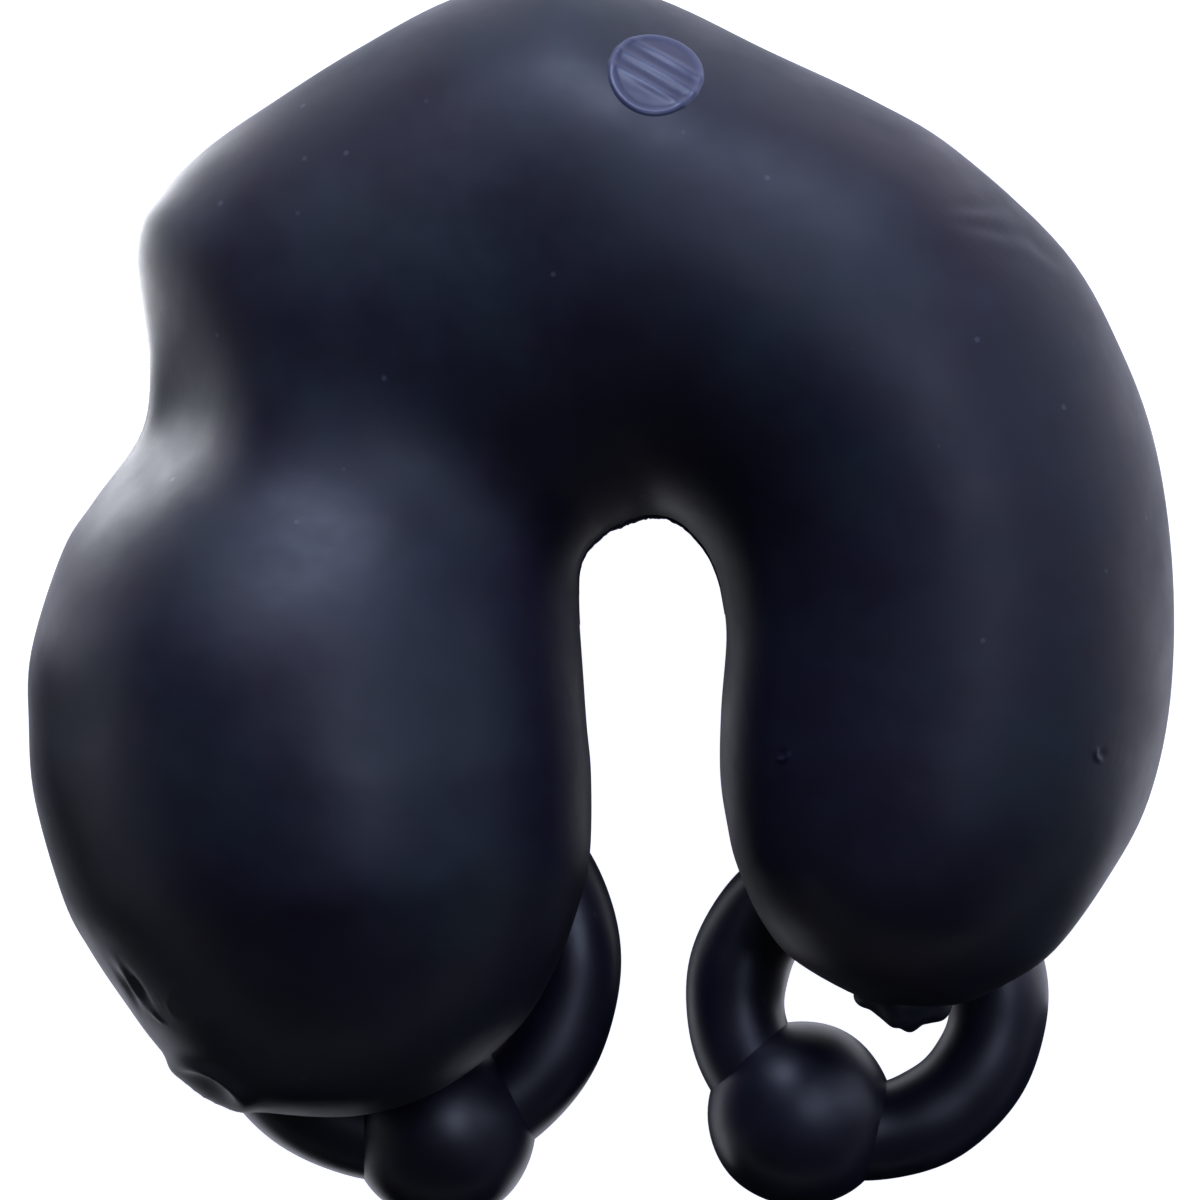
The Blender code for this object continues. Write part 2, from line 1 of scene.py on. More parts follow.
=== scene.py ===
"""The looks of the hand massager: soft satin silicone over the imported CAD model, on a plain pale table."""

import json
import math

import bmesh
import bpy
import numpy as np
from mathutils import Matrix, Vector
from mathutils.bvhtree import BVHTree


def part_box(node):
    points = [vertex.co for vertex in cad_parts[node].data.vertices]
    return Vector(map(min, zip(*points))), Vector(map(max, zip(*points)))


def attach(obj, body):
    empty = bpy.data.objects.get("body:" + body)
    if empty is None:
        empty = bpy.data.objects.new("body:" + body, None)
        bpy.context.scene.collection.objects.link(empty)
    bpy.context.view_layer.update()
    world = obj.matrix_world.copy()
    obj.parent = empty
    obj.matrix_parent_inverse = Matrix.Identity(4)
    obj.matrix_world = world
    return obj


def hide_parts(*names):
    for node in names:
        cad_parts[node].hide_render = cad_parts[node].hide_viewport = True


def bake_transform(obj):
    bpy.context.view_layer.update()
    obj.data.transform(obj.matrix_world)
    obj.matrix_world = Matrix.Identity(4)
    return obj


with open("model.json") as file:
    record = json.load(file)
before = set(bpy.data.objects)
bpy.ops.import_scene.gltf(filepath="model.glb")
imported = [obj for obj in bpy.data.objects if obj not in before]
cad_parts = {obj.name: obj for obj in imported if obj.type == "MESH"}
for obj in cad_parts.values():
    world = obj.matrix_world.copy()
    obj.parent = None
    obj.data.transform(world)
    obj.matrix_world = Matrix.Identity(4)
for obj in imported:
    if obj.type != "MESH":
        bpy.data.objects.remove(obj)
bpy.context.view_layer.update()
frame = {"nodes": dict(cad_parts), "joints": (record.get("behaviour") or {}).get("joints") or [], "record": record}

MM = 0.001
SIDES = ("lobe", "arm")

# The soft body is a thick tube bent into a U. Each row spans it with one chord: the outer point, the inner
# point, and the height of the front above the parting plane there, in millimetres.
CHORDS = (
    (-29.6, -59.6, -29.6, -59.6, 23.0),  # tip of the large lobe
    (-43.7, -57.7, -18.8, -56.8, 23.5),
    (-50.0, -52.0, -9.8, -50.0, 26.0),
    (-54.3, -46.3, -5.2, -42.9, 29.0),
    (-58.1, -40.6, -2.2, -34.8, 31.6),
    (-61.1, -34.9, -1.1, -29.2, 33.2),
    (-64.4, -23.5, -1.0, -20.6, 33.8),
    (-65.1, -14.9, -1.5, -14.9, 33.7),  # widest across the large lobe
    (-64.8, -6.4, -1.9, -9.2, 33.5),
    (-61.2, 5.0, -2.3, -3.5, 32.3),
    (-57.6, 10.7, -2.5, -0.3, 29.6),
    (-52.2, 18.6, -2.5, 2.5, 25.6),  # waist between the large lobe and the shoulder
    (-51.4, 27.0, -1.9, 4.4, 23.8),
    (-52.9, 36.4, -0.9, 5.8, 23.8),  # shoulder
    (-52.4, 42.1, 0.5, 7.1, 24.1),
    (-50.4, 45.2, 1.4, 7.6, 24.6),
    (-44.8, 50.8, 2.5, 8.1, 25.4),
    (-36.6, 56.5, 3.6, 8.6, 26.3),
    (-27.7, 62.1, 4.6, 8.9, 26.9),
    (-16.9, 67.8, 5.5, 9.0, 27.3),
    (-5.1, 70.9, 6.3, 9.0, 27.5),  # top of the arch
    (6.8, 67.8, 7.1, 8.9, 27.2),
    (19.0, 62.0, 8.2, 8.6, 27.2),
    (31.1, 56.3, 9.3, 8.0, 27.2),
    (40.6, 50.6, 10.5, 6.9, 27.2),
    (52.9, 39.2, 12.0, 5.1, 27.2),
    (59.4, 27.8, 13.3, 2.4, 27.2),
    (63.4, 16.4, 14.0, -0.7, 27.2),
    (65.3, 2.2, 14.4, -5.2, 27.2),
    (65.0, -12.1, 13.8, -13.2, 27.0),
    (62.5, -23.5, 13.7, -20.6, 27.0),
    (58.1, -32.0, 14.5, -26.3, 27.0),
    (51.8, -40.6, 15.6, -30.9, 27.0),
    (45.6, -44.8, 18.4, -37.2, 27.0),
    (40.0, -46.9, 22.8, -42.2, 27.0),
    (32.5, -47.0, 32.5, -47.0, 27.0),  # tip of the arm
)
CENTRE = (0.09, -1.02)  # the middle of the outline, in the same millimetres
PARTING_Z = 30 * MM  # the plane where the front and back halves of the body meet
KEEL = 34 * MM  # depth of the body below that plane, before the resting surface flattens it
END_WIDTH = 22 * MM  # where half a chord is shorter than this, the section gets lower with it
END_SHARPNESS = 6  # how suddenly that sets in
FRONT_EDGE = PARTING_Z - 4 * MM  # the small marks of the moulding lie above this height
STEPS_PER_CHORD = 7
SECTION_POINTS = 128
REST_SOFTNESS = 2 * MM  # how gently the body flattens where it rests

TUBE_RADIUS = 5.6 * MM
TUBE_SIDES = 48
RING_STEPS = 180
BEAD_RADIUS = 10.6 * MM
BEAD_ROOM = 0.8 * MM  # between a bead's path and the skin behind it
BEAD_OVERLAP = 0.45  # where a ring stops inside its bead, as a share of the bead's radius
BEAD_LUMP = 0.10 * MM
BEAD_RIDGE = 0.10 * MM
RING_RIDGE = 0.12 * MM

CAMERA_DISTANCE = 1.6
VIEW_MIDDLE = (0.0, -0.68)  # in the same millimetres as the outline
VIEW_WIDTH = 136.8 * MM  # what the frame spans at the parting plane
SENSOR = 36.0
TABLE_SIZE = 6.0

LAMP_COLOUR = (0.62, 0.71, 1.0)
# Each lamp's place and size in metres, and its power in watts.
LAMPS = {
    "key": ((0.0, 1.0, 0.60), (0.9, 0.4), 16),
    "overhead": ((0.48, 0.24, 1.2), (0.6, 0.6), 4.2),
    "side": ((1.0, 0.3, 0.42), (0.3, 0.7), 1.5),
}

# The left, bottom, right and top of the cards that lie on the table, in millimetres.
DARK_CARDS = {
    "card_below_the_lobe": (-400, -600, 2, -76),
    "card_below_the_arm": (2, -600, 400, -48),
    "card_beside_the_arm": (1.5, -48, 18, -10),
    "card_under_the_arch": (-4, -10, 20, 14),
    "card_beside_the_lobe": (-180, -76, -84, 0),
}
BRIGHT_CARD = (-100, 26, -57, 80)
CARD_HEIGHT = 1  # above the table, also in millimetres


def at(x, y, z=0.0):
    """A point given in millimetres before the outline is centred."""
    return Vector((x - CENTRE[0], y - CENTRE[1], z)) * MM


NECK = (at(-52.0, 20.2), at(-40.0, 26.6))  # the valley where the large lobe meets the waist
NECK_DEPTH = 0.62  # the share of the height it takes away at the very edge
NECK_LENGTH = 7.5 * MM
NECK_WIDTH = 6 * MM
NECK_SPREAD = 0.3  # how much wider the valley gets for each step along it
SADDLE = at(-24, 22)  # the broad hollow between the large lobe and the arch
SADDLE_SPREAD = (17 * MM, 44 * MM)  # smoothed fully within the first, and not at all past the second
SADDLE_HEIGHTS = (PARTING_Z + 3 * MM, PARTING_Z + 12 * MM)  # the smoothing sets in between these
SMOOTHING_PASSES = 120

# Creases and ridges: start, end, half width and height in millimetres (hollow when negative).
STRIPES = (
    ((40.3, 43.6), (46.9, 44.2), 0.7, -0.22),
    ((40.8, 42.4), (45.5, 42.6), 0.5, 0.10),
    ((41.3, 41.6), (48.0, 40.6), 0.6, -0.20),
    ((48.0, 40.6), (53.2, 36.6), 0.8, -0.22),
    ((43.0, 40.0), (49.0, 38.4), 0.8, 0.10),
    ((-54.9, -42.6), (-52.4, -46.6), 0.35, -0.45),
    ((-54.2, -42.2), (-51.7, -46.4), 0.30, 0.25),
    ((-53.4, -42.6), (-51.0, -46.0), 0.35, -0.35),
    ((-51.0, -47.0), (-49.3, -48.6), 0.25, 0.20),
    ((-45.0, -47.9), (-42.6, -47.6), 0.5, 0.12),
)
LIP = (at(-44.4, -55.9), at(-40.4, -58.0))  # the dimple at the lower left, and the way it points
LIP_HALF_SIZE = (3.8 * MM, 1.5 * MM)
MARK = at(-46.9, -46.1)  # the round mark at the lower left
MARK_RADIUS = 1.9 * MM
NICK_RADIUS = 0.75 * MM
# Small curls on the arm, and the way each one opens.
NICKS = ((at(20.5, -18.0), math.radians(-60)), (at(56.6, -18.0), math.radians(200)))

GRIP_MIDDLE = at(6.3, 59.0, 49.3)
GRIP_TILT = math.radians(46)  # how far the pad leans back over the top of the arch
GRIP_TURN = math.radians(-26)  # how far it is turned, as seen from the front
GRIP_REACH = 10 * MM  # half the side of the square sheet that the pad is made of
GRIP_STEPS = 110
GRIP_OVAL = (5.2 * MM, 6.6 * MM)  # half its width and half its height
GRIP_RIBS = ((3.4, -2.5), (4.0, 0.0), (3.4, 2.5))  # half length and place of each rib, in millimetres
RIB_HALF_WIDTH = 0.42  # in millimetres
# The pad's heights over the skin, in millimetres: outside the oval, and what each feature adds to that.
PAD_SHEET = -0.3
PAD_PANEL = 0.42
PAD_RIM = 0.18
PAD_RIB = 0.25

NUB = at(34.6, -45.7, 31.0)  # the rough lump at the end of the arm
NUB_HALF_SIZE = (5.6, 2.4, 4.4)  # in millimetres
NUB_DROOP = 1.4  # how much further its lower side hangs
NUB_BOXINESS = 0.4

SPRING_PATH = ((-38, 19), (-36, 33), (-24, 43), (-5, 46), (14, 42), (31, 34), (39, 21))
SPRING_RADIUS = 2 * MM
SPRING_STEPS = 8

FLASH_MIDDLE = at(5.5, 4.0)  # the top of the gap under the arch, where the flash runs
FLASH_REACH = 11 * MM
FLASH_RADIUS = 0.05  # at its thinnest, in millimetres
FLASH_RAGGEDNESS = 0.9
FLASH_WINDOW = 7  # how many random values each of its widths is the mean of
FLASH_SEED = 4

# Where the skin needs a finer mesh: a place, a radius, and the cuts in each edge.
FINE_PATCHES = (
    *((place, 2.6 * MM, 5) for place, _ in NICKS),
    (LIP[0], 6.5 * MM, 2),
    (at(-52.5, -44.8), 5 * MM, 2),  # the creases at the lower left
    (MARK, 4 * MM, 2),
    (at(46.5, 40.4), 9 * MM, 2),  # the creases at the upper right
    (at(-45.5, 21.5), 12 * MM, 2),  # the valley beside the waist
)


def smooth_bump(distance, width):
    """1 at no distance, falling smoothly towards 0 past the width."""
    return np.exp(-((distance / width) ** 2))


def smooth_step(value, low, high):
    """0 below the low value, 1 above the high one, and smooth between them."""
    t = np.clip((value - low) / (high - low), 0, 1)
    return t * t * (3 - 2 * t)


# ---------------------------------------------------------------- materials

DUST_COLOUR = (0.06, 0.065, 0.085)
INNER_SCALE = 300  # of the colour clouds on the inner pieces


def new_material(name):
    """A material, its node tree and its shader."""
    material = bpy.data.materials.new(name)
    material.use_nodes = True
    tree = material.node_tree
    return material, tree, tree.nodes["Principled BSDF"]


def add_node(tree, kind, values=None, **properties):
    """A node with its input values and its own properties set."""
    node = tree.nodes.new(kind)
    for key, value in properties.items():
        setattr(node, key, value)
    for key, value in (values or {}).items():
        node.inputs[key].default_value = value
    return node


def noise_node(tree, coordinates, scale, detail=2.0, roughness=0.5):
    node = add_node(
        tree, "ShaderNodeTexNoise", {"Scale": scale, "Detail": detail, "Roughness": roughness}
    )
    tree.links.new(coordinates, node.inputs["Vector"])
    return node.outputs["Fac"]


def ramp_node(tree, factor, stops):
    node = add_node(tree, "ShaderNodeValToRGB")
    elements = node.color_ramp.elements
    while len(elements) < len(stops):
        elements.new(0.5)
    for element, (position, colour) in zip(elements, stops):
        element.position = position
        element.color = (*colour, 1.0)
    tree.links.new(factor, node.inputs["Fac"])
    return node.outputs["Color"]


def range_node(tree, value, source, target):
    """Maps a value from the source range to the target range, and clamps it."""
    limits = {"From Min": source[0], "From Max": source[1], "To Min": target[0], "To Max": target[1]}
    node = add_node(tree, "ShaderNodeMapRange", limits)
    tree.links.new(value, node.inputs["Value"])
    return node.outputs["Result"]


def bump_node(tree, height, strength, distance, normal=None):
    node = add_node(tree, "ShaderNodeBump", {"Strength": strength, "Distance": distance})
    tree.links.new(height, node.inputs["Height"])
    if normal:
        tree.links.new(normal, node.inputs["Normal"])
    return node.outputs["Normal"]


def mix_colours(tree, factor, first, second):
    """Goes from the first colour to the second, each a plain colour or a socket."""
    node = add_node(tree, "ShaderNodeMix", data_type="RGBA")
    tree.links.new(factor, node.inputs["Factor"])
    for value, socket in ((first, node.inputs[6]), (second, node.inputs[7])):
        if isinstance(value, bpy.types.NodeSocket):
            tree.links.new(value, socket)
        else:
            socket.default_value = (*value, 1.0)
    return node.outputs[2]


def rest_coordinates(tree):
    """Where each point lies at rest, so that the pattern stays on the surface as it bends."""
    return add_node(tree, "ShaderNodeAttribute", attribute_name="rest_place").outputs["Vector"]


def dust_specks(tree, place):
    """How much each point shows a speck of dust: a small dot in a few of the cells."""
    cells = add_node(tree, "ShaderNodeTexVoronoi", {"Scale": 210, "Randomness": 1.0})
    tree.links.new(place, cells.inputs["Vector"])
    dot = range_node(tree, cells.outputs["Distance"], (0.04, 0.09), (0.6, 0.0))
    chosen = add_node(tree, "ShaderNodeSeparateColor")
    tree.links.new(cells.outputs["Color"], chosen.inputs["Color"])
    few = range_node(tree, chosen.outputs["Red"], (0.82, 0.83), (0.0, 1.0))
    dust = add_node(tree, "ShaderNodeMath", operation="MULTIPLY")
    tree.links.new(dot, dust.inputs[0])
    tree.links.new(few, dust.inputs[1])
    return dust.outputs[0]


def silicone_material(name, dark, middle, light, roughness, shine, edge=None):
    """Matt silicone with colour clouds, blotches, dust and smudges, and a painted highlight in a paler colour on
    raised edges where it has them.
    """
    material, tree, shader = new_material(name)
    place = rest_coordinates(tree)
    clouds = noise_node(tree, place, scale=34, detail=4, roughness=0.6)
    colour = ramp_node(tree, clouds, ((0.36, dark), (0.5, middle), (0.64, light)))
    blotches = noise_node(tree, place, scale=150, detail=4, roughness=0.6)
    blotch_share = range_node(tree, blotches, (0.35, 0.65), (0.35, 0.0))
    colour = mix_colours(tree, blotch_share, colour, tuple(0.5 * channel for channel in dark))
    colour = mix_colours(tree, dust_specks(tree, place), colour, DUST_COLOUR)
    if edge:
        # Where the pad's rim and ribs stand up, the colour turns paler: a painted highlight on the raised edges.
        painted_edge_highlight = add_node(tree, "ShaderNodeAttribute", attribute_name="painted_edge_highlight").outputs["Fac"]
        colour = mix_colours(tree, painted_edge_highlight, colour, edge)
    tree.links.new(colour, shader.inputs["Base Color"])
    smudges = noise_node(tree, place, scale=70, detail=4, roughness=0.6)
    smudged = range_node(tree, smudges, (0.3, 0.7), (roughness - 0.08, roughness + 0.08))
    tree.links.new(smudged, shader.inputs["Roughness"])
    swell = noise_node(tree, place, scale=110)
    grain = noise_node(tree, place, scale=2600)
    normal = bump_node(tree, swell, strength=0.25, distance=0.5 * MM)
    normal = bump_node(tree, grain, strength=0.12, distance=0.06 * MM, normal=normal)
    tree.links.new(normal, shader.inputs["Normal"])
    shader.inputs["Specular IOR Level"].default_value = shine
    return material


BODY_SILICONE = silicone_material(
    "body_silicone",
    dark=(0.0092, 0.0062, 0.0175),
    middle=(0.0086, 0.0095, 0.0210),
    light=(0.0070, 0.0140, 0.0235),
    roughness=0.49,
    shine=0.39,
)
PULL_SILICONE = silicone_material(
    "pull_silicone",
    dark=(0.0050, 0.0048, 0.0160),
    middle=(0.0060, 0.0060, 0.0190),
    light=(0.0090, 0.0095, 0.0260),
    roughness=0.43,
    shine=0.74,
)
PAD_SILICONE = silicone_material(
    "pad_silicone",
    dark=(0.020, 0.021, 0.052),
    middle=(0.024, 0.026, 0.066),
    light=(0.028, 0.032, 0.078),
    roughness=0.42,
    shine=0.5,
    # This pale edge colour is a painted highlight on the pad's rim and ribs.
    edge=(0.075, 0.085, 0.145),
)


def inner_material(name, dark, light, roughness, metallic=0.0, grain=0.08):
    """A moulded or turned material with slight colour clouds, uneven gloss and a fine grain."""
    material, tree, shader = new_material(name)
    place = add_node(tree, "ShaderNodeTexCoord").outputs["Object"]
    clouds = noise_node(tree, place, INNER_SCALE, detail=3)
    colour = ramp_node(tree, clouds, ((0.3, dark), (0.7, light)))
    tree.links.new(colour, shader.inputs["Base Color"])
    gloss = range_node(tree, clouds, (0.3, 0.7), (roughness * 0.85, roughness * 1.15))
    tree.links.new(gloss, shader.inputs["Roughness"])
    shader.inputs["Metallic"].default_value = metallic
    fine = noise_node(tree, place, INNER_SCALE * 12)
    tree.links.new(bump_node(tree, fine, grain, 0.1 * MM), shader.inputs["Normal"])
    return material


SPRING_METAL = inner_material("spring_metal", (0.30, 0.31, 0.33), (0.40, 0.41, 0.43), 0.35, 1.0)
INNER_MATERIALS = {
    "steel": inner_material("turned_steel", (0.50, 0.51, 0.52), (0.60, 0.60, 0.61), 0.25, 1.0),
    "spring_steel": SPRING_METAL,
    "pod_plastic": inner_material("moulded_shell", (0.66, 0.66, 0.63), (0.72, 0.72, 0.70), 0.5),
    "foam": inner_material("cradle_foam", (0.28, 0.29, 0.31), (0.40, 0.41, 0.43), 0.95, grain=0.6),
    "nylon": inner_material("dark_nylon", (0.012, 0.013, 0.022), (0.02, 0.021, 0.03), 0.45),
    "aluminium": inner_material("turned_metal", (0.62, 0.63, 0.64), (0.70, 0.71, 0.72), 0.3, 1.0),
}


def finish_inner_pieces():
    """Gives every CAD node that stays its own finish."""
    for part in frame["record"]["subparts"]:
        material = INNER_MATERIALS.get(part["material_slot"])
        if material:
            node = frame["nodes"][part["node"]]
            for slot in node.material_slots:
                slot.material = material


# ---------------------------------------------------------------- mesh helpers


def catmull_rom(a, b, c, d, t):
    """The point at t from b to c on the smooth curve through a, b, c and d."""
    return 0.5 * (
        2 * b + (c - a) * t + (2 * a - 5 * b + 4 * c - d) * t * t + (3 * b - a - 3 * c + d) * t**3
    )


def smooth_rows(rows, steps):
    """Rows on the smooth curve through all the given ones but the first and the last."""
    refined = [
        catmull_rom(rows[i - 1], rows[i], rows[i + 1], rows[i + 2], step / steps)
        for i in range(1, len(rows) - 2)
        for step in range(steps)
    ]
    refined.append(rows[-2])
    return np.array(refined)


def mesh_data(bm):
    """The points and faces of a bmesh, which is then freed.

    The faces are sorted, because Blender lists a new sphere's faces in another order each run.
    """
    bm.verts.index_update()
    points = [vert.co.copy() for vert in bm.verts]
    faces = sorted(tuple(vert.index for vert in face.verts) for face in bm.faces)
    bm.free()
    return points, faces


def add_piece(name, points, faces, material, slot):
    """A smooth mesh object that remembers where each of its points lies at rest."""
    mesh = bpy.data.meshes.new(name)
    mesh.from_pydata([tuple(point) for point in points], [], faces)
    mesh.update()
    bm = bmesh.new()
    bm.from_mesh(mesh)
    bmesh.ops.recalc_face_normals(bm, faces=bm.faces)
    bm.to_mesh(mesh)
    bm.free()
    mesh.shade_smooth()
    mesh.materials.append(material)
    rest = mesh.attributes.new("rest_place", "FLOAT_VECTOR", "POINT")
    rest.data.foreach_set("vector", np.array([v.co for v in mesh.vertices], np.float32).ravel())
    obj = bpy.data.objects.new(name, mesh)
    bpy.context.scene.collection.objects.link(obj)
    return obj


def closed_tube_faces(loops, sides):
    """Quads between closed loops of points, numbered loop after loop, and a cap at each end."""
    faces = []
    for k in range(loops - 1):
        for i in range(sides):
            j = (i + 1) % sides
            faces.append((k * sides + i, k * sides + j, (k + 1) * sides + j, (k + 1) * sides + i))
    faces.append(tuple(reversed(range(sides))))
    faces.append(tuple((loops - 1) * sides + i for i in range(sides)))
    return faces


# ---------------------------------------------------------------- the soft body


def body_rows():
    """Chords refined to smooth rows: outer x and y, inner x and y, front height, in metres."""
    first, last = CHORDS[1], CHORDS[-2]
    before = (*first[2:4], *first[0:2], first[4])
    after = (*last[2:4], *last[0:2], last[4])
    rows = np.array((before, *CHORDS, after))
    refined = smooth_rows(rows, STEPS_PER_CHORD)
    refined[:, 0:4] -= (*CENTRE, *CENTRE)
    return refined * MM


def soft_floor(z):
    """Flattens what would reach below the resting surface, with a gentle edge."""
    return 0.5 * (z + np.sqrt(z * z + REST_SOFTNESS**2))


def body_points():
    """The body's points as (row, point round the section, xyz)."""
    rows = body_rows()
    outer, inner, height = rows[:, 0:2], rows[:, 2:4], rows[:, 4]
    middle, half = (outer + inner) / 2, (outer - inner) / 2
    ratio = np.linalg.norm(half, axis=1) / END_WIDTH
    # Close to 1 where the body is wide, and down to 0 at the tips, which makes the ends round.
    factor = ratio / (1 + ratio**END_SHARPNESS) ** (1 / END_SHARPNESS)
    angle = 2 * np.pi * (np.arange(SECTION_POINTS) + 0.5) / SECTION_POINTS
    cos, sin = np.cos(angle), np.sin(angle)
    points = np.empty((len(rows), SECTION_POINTS, 3))
    points[:, :, 0:2] = middle[:, None, :] + half[:, None, :] * cos[None, :, None]
    depth = np.where(sin[None, :] > 0, height[:, None], KEEL)
    points[:, :, 2] = soft_floor(PARTING_Z + depth * factor[:, None] * sin[None, :])
    return points


def smooth_saddle(points):
    """Evens out the front where the rows crowd together beside the waist."""
    distance = np.linalg.norm(points[:, :, 0:2] - np.array(SADDLE.xy), axis=2)
    share = 1 - smooth_step(distance, *SADDLE_SPREAD)
    share *= smooth_step(points[:, :, 2], *SADDLE_HEIGHTS)
    for _ in range(SMOOTHING_PASSES):
        neighbours = sum(np.roll(points, step, axis) for step in (-1, 1) for axis in (0, 1)) / 4
        points += share[:, :, None] * (neighbours - points)


def body_bmesh():
    """The plain body as one closed loft from tip to tip."""
    points = body_points()
    smooth_saddle(points)
    loops = points[1:-1]
    bm = bmesh.new()
    verts = [[bm.verts.new(point) for point in loop] for loop in loops]
    for first, second in zip(verts, verts[1:]):
        for i in range(SECTION_POINTS):
            j = (i + 1) % SECTION_POINTS
            bm.faces.new((first[i], first[j], second[j], second[i]))
    for loop, tip_loop in ((verts[0], points[0]), (verts[-1], points[-1])):
        tip = bm.verts.new(tip_loop.mean(axis=0))
        for i in range(SECTION_POINTS):
            bm.faces.new((loop[i], loop[(i + 1) % SECTION_POINTS], tip))
    bmesh.ops.recalc_face_normals(bm, faces=bm.faces)
    return bm


def refine(bm, centre, radius, cuts):
    """Splits the faces on the front near a place finely enough for a small mark."""
    near = [
        face
        for face in bm.faces
        if (face.calc_center_median() - centre).xy.length < radius
        and face.calc_center_median().z > FRONT_EDGE
    ]
    edges = list({edge for face in near for edge in face.edges})
    bmesh.ops.subdivide_edges(bm, edges=edges, cuts=cuts, use_grid_fill=True)


def local_axes(points, origin, towards):
    """Distances along and across a line on the plan, in metres."""
    direction = (towards - origin).xy.normalized()
    offset = points[:, 0:2] - np.array(origin.xy)
    along = offset @ np.array(direction)
    across = offset @ np.array((-direction.y, direction.x))
    return along, across


def neck_drop(points):
    """How far the valley beside the waist lies below the plain body.

    It is deepest at the edge of the body, and widens and fades as it runs into the front.
    """
    along, across = local_axes(points, NECK[0], NECK[1])
    rise = np.maximum(points[:, 2] - PARTING_Z, 0)
    width = NECK_WIDTH + NECK_SPREAD * np.maximum(along, 0)
    return NECK_DEPTH * rise * smooth_bump(along, NECK_LENGTH) * smooth_bump(across, width)


def crescent(points, centre, radius, turn):
    """A thin raised curl, such as a tool leaves in a moulding."""
    offset = points[:, 0:2] - np.array(centre.xy)
    distance = np.linalg.norm(offset, axis=1)
    angle = np.arctan2(offset[:, 1], offset[:, 0]) - turn
    side = smooth_step(np.cos(angle), 0.1, 0.8)
    curl = 0.22 * MM * smooth_bump(distance - radius, 0.2 * MM) * side
    hollow = 0.12 * MM * smooth_bump(distance, 0.7 * radius)
    return curl - hollow


def stripe(plan, start, end, half_width):
    """1 along the middle of a straight stripe, falling to 0 at its sides and its ends."""
    direction = np.array(end) - np.array(start)
    length = np.linalg.norm(direction)
    direction = direction / length
    offset = plan - np.array(start)
    along = offset @ direction
    across = offset @ np.array((-direction[1], direction[0]))
    return smooth_bump(across, half_width) * smooth_bump(along - length / 2, length / 2)


def stripes(points):
    """All the creases and ridges together."""
    plan = points[:, 0:2] / MM + np.array(CENTRE)
    total = np.zeros(len(points))
    for start, end, half_width, height in STRIPES:
        total += height * MM * stripe(plan, start, end, half_width)
    return total


def lip(points):
    """An almond-shaped dimple with a raised rim at the lower left, where the mould was filled."""
    along, across = local_axes(points, LIP[0], LIP[1])
    reach = np.hypot(along / LIP_HALF_SIZE[0], across / LIP_HALF_SIZE[1])
    rim = 0.75 * MM * smooth_bump(reach - 1.1, 0.45)
    hollow = 0.9 * MM * smooth_bump(reach, 0.8)
    return rim - hollow


def ejector_mark(points, centre, radius):
    """A small round mark: a low ring round a shallow hollow."""
    distance = np.linalg.norm(points[:, 0:2] - np.array(centre.xy), axis=1)
    ring = 0.05 * MM * smooth_bump(distance - radius, 0.35 * MM)
    hollow = 0.06 * MM * smooth_bump(distance, radius)
    return ring - hollow


def front_marks(points):
    """How high the small marks of the moulding stand over the plain body."""
    marks = stripes(points) + lip(points)
    for centre, turn in NICKS:
        marks += crescent(points, centre, NICK_RADIUS, turn)
    marks += ejector_mark(points, MARK, MARK_RADIUS)
    return marks * smooth_step(points[:, 2], FRONT_EDGE, PARTING_Z)


def bead_roof(points, side):
    """The least height of the body over the path of a bead, and 0 away from it."""
    centre, major, _, bead_angle = ring_layout(side)
    low, high = (math.radians(limit) for limit in ring_joint(side)["range_deg"])
    offset = points[:, 0:2] - np.array(centre.xy)
    turned = np.arctan2(offset[:, 1], offset[:, 0]) - bead_angle
    turned = np.clip((turned + np.pi) % (2 * np.pi) - np.pi, low, high) + bead_angle
    nearest = np.stack((np.cos(turned), np.sin(turned)), axis=1) * major
    distance = np.linalg.norm(offset - nearest, axis=1)
    room = BEAD_RADIUS + BEAD_ROOM
    roof = centre.z + np.sqrt(np.maximum(room**2 - distance**2, 0))
    return np.where(distance < room, roof, 0)


def make_body():
    """The one soft skin over both halves of the massager."""
    bm = body_bmesh()
    for centre, radius, cuts in FINE_PATCHES:
        refine(bm, centre, radius, cuts)
    bm.normal_update()
    normals = np.array([vert.normal for vert in bm.verts])
    points, faces = mesh_data(bm)
    points = np.array(points)
    shaped = points + normals * front_marks(points)[:, None]
    shaped[:, 2] -= neck_drop(points)
    for side in SIDES:
        height = shaped[:, 2]
        raised = np.maximum(height, bead_roof(shaped, side))
        shaped[:, 2] = np.where(height < PARTING_Z, raised, height)
    body = add_piece("soft_body", shaped, faces, BODY_SILICONE, "silicone")
    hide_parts("lobe_front", "lobe_back", "arm_front", "arm_back")
    return body


def surface_of(obj):
    """The object's surface, for finding where rays meet it."""
    bm = bmesh.new()
    bm.from_mesh(obj.data)
    tree = BVHTree.FromBMesh(bm)
    bm.free()
    return tree


def pad_profile(u, v):
    """Height of the grip pad over the body in metres, and how strongly a highlight is painted on its raised edges.

    The pad is a low oval with a rim and three straight ribs, and dips under the skin all round.
    """
    # How far in from the edge of the oval the point lies, in millimetres.
    inside = (1 - math.hypot(u / GRIP_OVAL[0], v / GRIP_OVAL[1])) * GRIP_OVAL[0] / MM
    panel = smooth_step(inside, -0.3, 0.3)
    rim = smooth_bump(inside - 0.45, 0.4)
    plan = np.array(((u / MM, v / MM),))
    rib = max(
        stripe(plan, (-half, place), (half, place), RIB_HALF_WIDTH)[0] for half, place in GRIP_RIBS
    )
    height = PAD_SHEET + PAD_PANEL * panel + PAD_RIM * rim + PAD_RIB * math.sqrt(rib)
    # The paler colour on the rim and ribs is a painted highlight.
    edge_highlight_share = max(0.6 * rim, 0.7 * rib)
    return height * MM, edge_highlight_share


